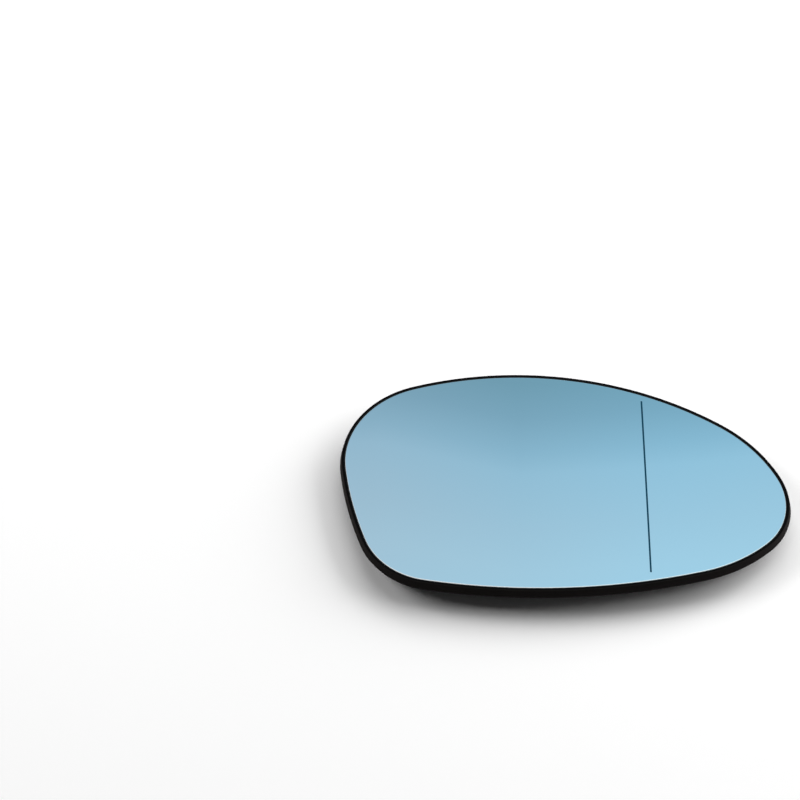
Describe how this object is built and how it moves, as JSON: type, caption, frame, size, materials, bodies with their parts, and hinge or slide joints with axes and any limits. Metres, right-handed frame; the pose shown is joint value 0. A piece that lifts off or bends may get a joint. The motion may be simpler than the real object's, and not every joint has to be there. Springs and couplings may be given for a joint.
{
  "type": "car door mirror glass",
  "caption": "Right-hand door mirror glass: blue aspheric mirror with a dividing line, on a heater pad and a black carrier whose socket clips onto the mirror motor.",
  "frame": {"origin": "under the middle of the outline, in the plane of the motor socket's foot", "axes": "+X along the glass towards its tip, +Y towards its upper edge, +Z out of the mirror's face"},
  "size_m": [0.1822, 0.1102, 0.015],
  "materials": {
    "mirror_glass": "blue-tinted mirror coating behind clear glass",
    "heater_pad": "heating foil on adhesive foam",
    "carrier": "satin black moulded plastic",
    "retaining_spring": "bright spring wire",
    "heater_blade": "tin-plated brass"
  },
  "bodies": {
    "root": {"mirror_glass": "mirror_glass", "heater_pad": "heater_pad", "carrier": "carrier", "retaining_spring": "retaining_spring", "heater_blade_upper": "heater_blade", "heater_blade_lower": "heater_blade"}
  },
  "joints": []
}
